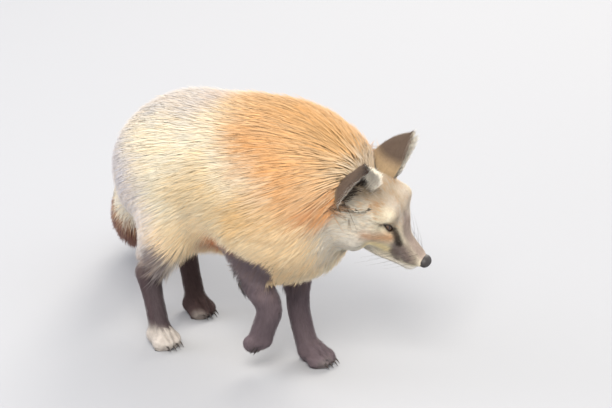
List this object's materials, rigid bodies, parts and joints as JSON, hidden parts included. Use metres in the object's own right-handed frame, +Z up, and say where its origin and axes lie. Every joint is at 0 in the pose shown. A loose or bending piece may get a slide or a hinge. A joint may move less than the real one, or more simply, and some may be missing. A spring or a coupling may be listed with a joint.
{
  "type": "red fox",
  "caption": "Life-size still model of a red fox in winter coat, walking with head lowered and turned, one forepaw lifted, standing on the other three.",
  "frame": {"origin": "on the floor, under the middle of the whole model's box", "axes": "+X the way the body faces, +Y the animal's left, +Z up from the floor"},
  "size_m": [0.6824, 0.3418, 0.4094],
  "materials": {
    "fur_golden": "thick winter fur, golden to rust, laid back along the body",
    "fur_pale": "short cream-grey face fur with rust flecks",
    "fur_white": "cream-white fur of the jaw and the tail's tip",
    "fur_dark": "short black-brown fur of the legs and the backs of the ears",
    "fur_tail": "long red-brown brush",
    "eye": "polished amber eye with an upright dark pupil, opaque",
    "nose_skin": "moist blue-black pebbled nose skin",
    "claw": "dark grey-brown horn",
    "whisker": "fine stiff dark bristle"
  },
  "bodies": {
    "root": {"rump": "fur_golden", "loin": "fur_golden", "chest": "fur_golden", "neck": "fur_golden", "thigh_left": "fur_golden", "thigh_right": "fur_golden", "upper_arm_left": "fur_golden", "upper_arm_right": "fur_golden", "head": "fur_pale", "muzzle": "fur_pale", "lower_jaw": "fur_white", "tail_tip": "fur_white", "ear_left": "fur_dark", "ear_right": "fur_dark", "shank_left": "fur_dark", "shank_right": "fur_dark", "forearm_left": "fur_dark", "forearm_right": "fur_dark", "hindpaw_left": "fur_dark", "hindpaw_right": "fur_dark", "forepaw_left": "fur_dark", "forepaw_right": "fur_dark", "tail_base": "fur_tail", "tail_middle": "fur_tail", "eye_left": "eye", "eye_right": "eye", "nose": "nose_skin"}
  },
  "joints": []
}
